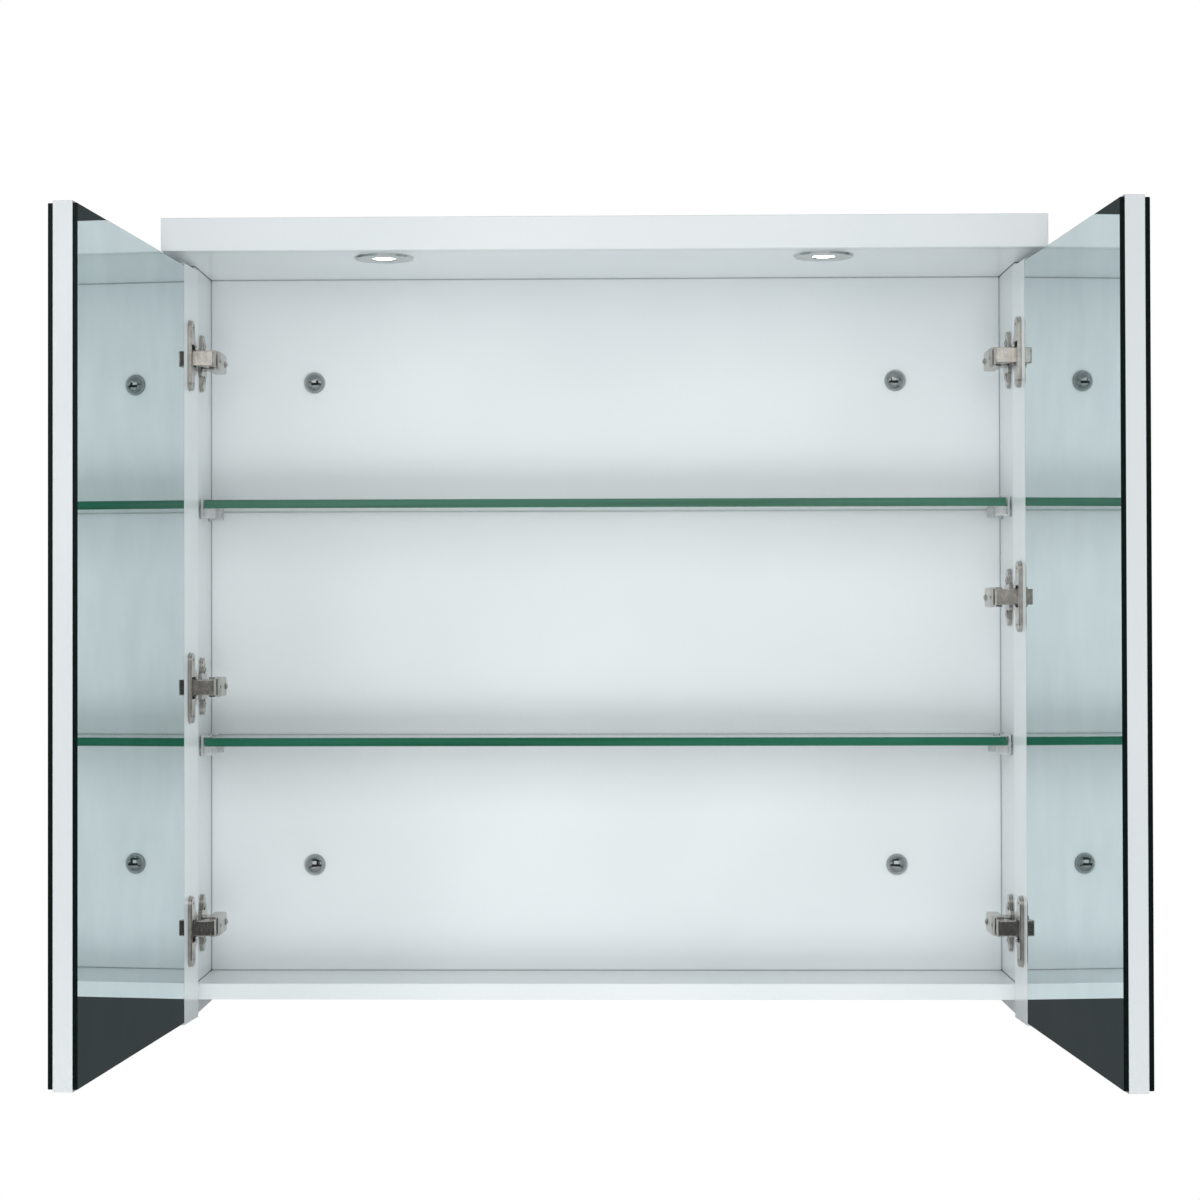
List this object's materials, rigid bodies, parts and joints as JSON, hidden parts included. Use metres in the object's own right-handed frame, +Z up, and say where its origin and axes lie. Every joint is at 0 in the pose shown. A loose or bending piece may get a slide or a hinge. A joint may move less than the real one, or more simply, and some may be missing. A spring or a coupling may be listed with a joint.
{
  "type": "medicine cabinet with mirror",
  "caption": "Wall-hung mirror cabinet with a lit canopy, glass shelves and mirrored doors on concealed hinges that fold out to either side.",
  "frame": {"origin": "centre of the rectangle of wall-fixing holes, on the plane where the back meets the wall", "axes": "+X to the right of a person facing the cabinet, +Y into the wall, +Z up"},
  "size_m": [0.8632, 0.5147, 0.735],
  "materials": {
    "bare_aluminium": "die cast",
    "beech": "turned, unfinished",
    "chrome": "polished",
    "circuit_board": "white solder mask",
    "clear_plastic": "clear moulded",
    "driver_case": "moulded",
    "grommet_rubber": "moulded",
    "hinge_nickel": "nickel plated, polished",
    "lamp_lens": "frosted",
    "lead_sheath": "smooth",
    "mirror_glass": "silvered float glass",
    "satin_nickel": "satin plated",
    "screw_steel": "nickel plated",
    "shelf_glass": "clear float glass, polished edges",
    "white_lacquer": "gloss lacquer on board",
    "white_plastic": "moulded",
    "zinc_plate": "zinc plated"
  },
  "bodies": {
    "cabinet": {"back_panel": "white_lacquer", "bottom_panel": "white_lacquer", "cable_grommet": "grommet_rubber", "cam_bolts": "zinc_plate", "cam_locks": "zinc_plate", "canopy_base_board": "white_lacquer", "canopy_end_strips": "white_lacquer", "canopy_fascia": "white_lacquer", "canopy_rear_strip": "white_lacquer", "canopy_screws": "zinc_plate", "canopy_top_cover": "white_lacquer", "carcass_dowels": "beech", "fixing_cap_bases": "white_plastic", "fixing_dome_caps": "chrome", "hinge_arm_pins": "screw_steel", "hinge_arm_screws": "screw_steel", "hinge_plate_screws": "screw_steel", "led_driver": "driver_case", "left_hinge_plates": "hinge_nickel", "left_lower_hinge_arm": "hinge_nickel", "left_middle_hinge_arm": "hinge_nickel", "left_side_panel": "white_lacquer", "left_spot_bezel": "satin_nickel", "left_spot_heat_sink": "bare_aluminium", "left_spot_lens": "lamp_lens", "left_upper_hinge_arm": "hinge_nickel", "lower_glass_shelf": "shelf_glass", "right_hinge_plates": "hinge_nickel", "right_lower_hinge_arm": "hinge_nickel", "right_middle_hinge_arm": "hinge_nickel", "right_side_panel": "white_lacquer", "right_spot_bezel": "satin_nickel", "right_spot_heat_sink": "bare_aluminium", "right_spot_lens": "lamp_lens", "right_upper_hinge_arm": "hinge_nickel", "shelf_support_pads": "clear_plastic", "shelf_support_pins": "zinc_plate", "spot_bezel_screws": "screw_steel", "spot_leads": "lead_sheath", "spot_led_boards": "circuit_board", "upper_glass_shelf": "shelf_glass"},
    "left_door": {"left_cup_pins": "screw_steel", "left_cup_screws": "screw_steel", "left_door_core": "white_lacquer", "left_hinge_cups": "hinge_nickel", "left_inner_mirror": "mirror_glass", "left_outer_mirror": "mirror_glass"},
    "left_links": {"left_lower_hinge_link": "hinge_nickel", "left_middle_hinge_link": "hinge_nickel", "left_upper_hinge_link": "hinge_nickel"},
    "right_door": {"right_cup_pins": "screw_steel", "right_cup_screws": "screw_steel", "right_door_core": "white_lacquer", "right_hinge_cups": "hinge_nickel", "right_inner_mirror": "mirror_glass", "right_outer_mirror": "mirror_glass"},
    "right_links": {"right_lower_hinge_link": "hinge_nickel", "right_middle_hinge_link": "hinge_nickel", "right_upper_hinge_link": "hinge_nickel"}
  },
  "joints": [
    {"name": "left_link_swing", "type": "hinge", "parent": "cabinet", "child": "left_links", "pos_m": [-0.368, -0.11, -0.0185], "axis": [0, 0, -1], "range_deg": [-1.61, 26.91]},
    {"name": "left_door_swing", "type": "hinge", "parent": "left_links", "child": "left_door", "pos_m": [-0.3849, -0.12642, -0.0185], "axis": [0, 0, -1], "range_deg": [-121.3, 7.2]},
    {"name": "right_link_swing", "type": "hinge", "parent": "cabinet", "child": "right_links", "pos_m": [0.368, -0.11, -0.0185], "axis": [0, 0, 1], "range_deg": [-1.95, 26.57]},
    {"name": "right_door_swing", "type": "hinge", "parent": "right_links", "child": "right_door", "pos_m": [0.38499, -0.12632, -0.0185], "axis": [0, 0, 1], "range_deg": [-119.76, 8.74]}
  ],
  "couplings": [
    {"joint": "left_link_swing", "follows": "left_door_swing", "ratio": -0.22179},
    {"joint": "right_link_swing", "follows": "right_door_swing", "ratio": -0.22179}
  ]
}
